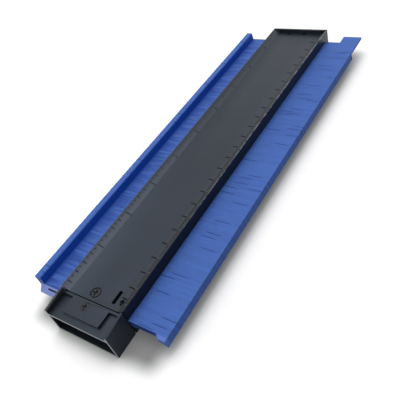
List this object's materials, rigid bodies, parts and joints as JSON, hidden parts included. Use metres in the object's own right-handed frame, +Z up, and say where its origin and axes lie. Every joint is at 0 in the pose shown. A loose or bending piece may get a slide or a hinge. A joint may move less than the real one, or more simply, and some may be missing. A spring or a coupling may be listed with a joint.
{
  "type": "contour gauge",
  "caption": "Contour gauge: a black frame with a sunk scale tray and an open end socket holds a comb of sliding blue teeth that copy a profile.",
  "frame": {"origin": "middle of the outline, on the surface that the underside lies on", "axes": "+X along the comb from the open socket to the finger tab, +Y towards the lips that turn up, +Z up"},
  "size_m": [0.276, 0.0904, 0.0191],
  "materials": {
    "frame_black": "moulded ABS, satin",
    "tooth_blue": "moulded ABS, satin",
    "screw_steel": "black zinc",
    "rod_steel": "drawn wire",
    "strip_plastic": "plain"
  },
  "bodies": {
    "frame": {"upper_frame": "frame_black", "lower_frame": "frame_black", "end_cap": "frame_black", "cap_screw": "screw_steel", "far_screws": "screw_steel", "guide_rod_left": "rod_steel", "guide_rod_right": "rod_steel"},
    "tension_screw": {"tension_screw": "screw_steel"},
    "clamp_strip": {"clamp_strip": "strip_plastic"},
    "near_end_tooth": {"near_end_tooth": "tooth_blue"},
    "far_end_piece": {"far_end_piece": "tooth_blue"},
    "tooth_bank_01": {"tooth_bank_01": "tooth_blue"},
    "tooth_bank_02": {"tooth_bank_02": "tooth_blue"},
    "tooth_bank_03": {"tooth_bank_03": "tooth_blue"},
    "tooth_bank_04": {"tooth_bank_04": "tooth_blue"},
    "tooth_bank_05": {"tooth_bank_05": "tooth_blue"},
    "tooth_bank_06": {"tooth_bank_06": "tooth_blue"},
    "tooth_bank_07": {"tooth_bank_07": "tooth_blue"},
    "tooth_bank_08": {"tooth_bank_08": "tooth_blue"},
    "tooth_bank_09": {"tooth_bank_09": "tooth_blue"},
    "tooth_bank_10": {"tooth_bank_10": "tooth_blue"},
    "tooth_bank_11": {"tooth_bank_11": "tooth_blue"},
    "tooth_bank_12": {"tooth_bank_12": "tooth_blue"},
    "tooth_bank_13": {"tooth_bank_13": "tooth_blue"},
    "tooth_bank_14": {"tooth_bank_14": "tooth_blue"},
    "tooth_bank_15": {"tooth_bank_15": "tooth_blue"},
    "tooth_bank_16": {"tooth_bank_16": "tooth_blue"},
    "tooth_bank_17": {"tooth_bank_17": "tooth_blue"},
    "tooth_bank_18": {"tooth_bank_18": "tooth_blue"},
    "tooth_bank_19": {"tooth_bank_19": "tooth_blue"},
    "tooth_bank_20": {"tooth_bank_20": "tooth_blue"},
    "tooth_bank_21": {"tooth_bank_21": "tooth_blue"},
    "tooth_bank_22": {"tooth_bank_22": "tooth_blue"},
    "tooth_bank_23": {"tooth_bank_23": "tooth_blue"},
    "tooth_bank_24": {"tooth_bank_24": "tooth_blue"},
    "tooth_bank_25": {"tooth_bank_25": "tooth_blue"},
    "tooth_bank_26": {"tooth_bank_26": "tooth_blue"},
    "tooth_bank_27": {"tooth_bank_27": "tooth_blue"},
    "tooth_bank_28": {"tooth_bank_28": "tooth_blue"},
    "tooth_bank_29": {"tooth_bank_29": "tooth_blue"},
    "tooth_bank_30": {"tooth_bank_30": "tooth_blue"},
    "tooth_bank_31": {"tooth_bank_31": "tooth_blue"},
    "tooth_bank_32": {"tooth_bank_32": "tooth_blue"}
  },
  "joints": [
    {"name": "tension_turn", "type": "hinge", "parent": "frame", "child": "tension_screw", "pos_m": [-0.11853, 0.0026, 0.0164], "axis": [0, 0, -1], "range_deg": [0, 182]},
    {"name": "strip_press", "type": "slide", "parent": "frame", "child": "clamp_strip", "axis": [0, 0, -1], "range_m": [0, 0.0002]},
    {"name": "near_tooth_slide", "type": "slide", "parent": "frame", "child": "near_end_tooth", "axis": [0, 1, 0], "range_m": [-0.0045, 0.0168]},
    {"name": "far_piece_slide", "type": "slide", "parent": "frame", "child": "far_end_piece", "axis": [0, 1, 0], "range_m": [-0.01745, 0.0105]},
    {"name": "bank_01_slide", "type": "slide", "parent": "frame", "child": "tooth_bank_01", "axis": [0, 1, 0], "range_m": [-0.01745, 0.01865]},
    {"name": "bank_02_slide", "type": "slide", "parent": "frame", "child": "tooth_bank_02", "axis": [0, 1, 0], "range_m": [-0.01745, 0.01865]},
    {"name": "bank_03_slide", "type": "slide", "parent": "frame", "child": "tooth_bank_03", "axis": [0, 1, 0], "range_m": [-0.01745, 0.01865]},
    {"name": "bank_04_slide", "type": "slide", "parent": "frame", "child": "tooth_bank_04", "axis": [0, 1, 0], "range_m": [-0.01745, 0.01865]},
    {"name": "bank_05_slide", "type": "slide", "parent": "frame", "child": "tooth_bank_05", "axis": [0, 1, 0], "range_m": [-0.01745, 0.01865]},
    {"name": "bank_06_slide", "type": "slide", "parent": "frame", "child": "tooth_bank_06", "axis": [0, 1, 0], "range_m": [-0.01745, 0.01865]},
    {"name": "bank_07_slide", "type": "slide", "parent": "frame", "child": "tooth_bank_07", "axis": [0, 1, 0], "range_m": [-0.01745, 0.01865]},
    {"name": "bank_08_slide", "type": "slide", "parent": "frame", "child": "tooth_bank_08", "axis": [0, 1, 0], "range_m": [-0.01745, 0.01865]},
    {"name": "bank_09_slide", "type": "slide", "parent": "frame", "child": "tooth_bank_09", "axis": [0, 1, 0], "range_m": [-0.01745, 0.01865]},
    {"name": "bank_10_slide", "type": "slide", "parent": "frame", "child": "tooth_bank_10", "axis": [0, 1, 0], "range_m": [-0.01745, 0.01865]},
    {"name": "bank_11_slide", "type": "slide", "parent": "frame", "child": "tooth_bank_11", "axis": [0, 1, 0], "range_m": [-0.01745, 0.01865]},
    {"name": "bank_12_slide", "type": "slide", "parent": "frame", "child": "tooth_bank_12", "axis": [0, 1, 0], "range_m": [-0.01745, 0.01865]},
    {"name": "bank_13_slide", "type": "slide", "parent": "frame", "child": "tooth_bank_13", "axis": [0, 1, 0], "range_m": [-0.01745, 0.01865]},
    {"name": "bank_14_slide", "type": "slide", "parent": "frame", "child": "tooth_bank_14", "axis": [0, 1, 0], "range_m": [-0.01745, 0.01865]},
    {"name": "bank_15_slide", "type": "slide", "parent": "frame", "child": "tooth_bank_15", "axis": [0, 1, 0], "range_m": [-0.01745, 0.01865]},
    {"name": "bank_16_slide", "type": "slide", "parent": "frame", "child": "tooth_bank_16", "axis": [0, 1, 0], "range_m": [-0.01745, 0.01865]},
    {"name": "bank_17_slide", "type": "slide", "parent": "frame", "child": "tooth_bank_17", "axis": [0, 1, 0], "range_m": [-0.01745, 0.01865]},
    {"name": "bank_18_slide", "type": "slide", "parent": "frame", "child": "tooth_bank_18", "axis": [0, 1, 0], "range_m": [-0.01745, 0.01865]},
    {"name": "bank_19_slide", "type": "slide", "parent": "frame", "child": "tooth_bank_19", "axis": [0, 1, 0], "range_m": [-0.01745, 0.01865]},
    {"name": "bank_20_slide", "type": "slide", "parent": "frame", "child": "tooth_bank_20", "axis": [0, 1, 0], "range_m": [-0.01745, 0.01865]},
    {"name": "bank_21_slide", "type": "slide", "parent": "frame", "child": "tooth_bank_21", "axis": [0, 1, 0], "range_m": [-0.01745, 0.01865]},
    {"name": "bank_22_slide", "type": "slide", "parent": "frame", "child": "tooth_bank_22", "axis": [0, 1, 0], "range_m": [-0.01745, 0.01865]},
    {"name": "bank_23_slide", "type": "slide", "parent": "frame", "child": "tooth_bank_23", "axis": [0, 1, 0], "range_m": [-0.01745, 0.01865]},
    {"name": "bank_24_slide", "type": "slide", "parent": "frame", "child": "tooth_bank_24", "axis": [0, 1, 0], "range_m": [-0.01745, 0.01865]},
    {"name": "bank_25_slide", "type": "slide", "parent": "frame", "child": "tooth_bank_25", "axis": [0, 1, 0], "range_m": [-0.01745, 0.01865]},
    {"name": "bank_26_slide", "type": "slide", "parent": "frame", "child": "tooth_bank_26", "axis": [0, 1, 0], "range_m": [-0.01745, 0.01865]},
    {"name": "bank_27_slide", "type": "slide", "parent": "frame", "child": "tooth_bank_27", "axis": [0, 1, 0], "range_m": [-0.01745, 0.01865]},
    {"name": "bank_28_slide", "type": "slide", "parent": "frame", "child": "tooth_bank_28", "axis": [0, 1, 0], "range_m": [-0.01745, 0.01865]},
    {"name": "bank_29_slide", "type": "slide", "parent": "frame", "child": "tooth_bank_29", "axis": [0, 1, 0], "range_m": [-0.01745, 0.01865]},
    {"name": "bank_30_slide", "type": "slide", "parent": "frame", "child": "tooth_bank_30", "axis": [0, 1, 0], "range_m": [-0.01745, 0.01865]},
    {"name": "bank_31_slide", "type": "slide", "parent": "frame", "child": "tooth_bank_31", "axis": [0, 1, 0], "range_m": [-0.01745, 0.01865]},
    {"name": "bank_32_slide", "type": "slide", "parent": "frame", "child": "tooth_bank_32", "axis": [0, 1, 0], "range_m": [-0.01745, 0.01865]}
  ],
  "couplings": [
    {"joint": "tension_turn", "follows": "strip_press", "rad_per_m": 15708}
  ]
}
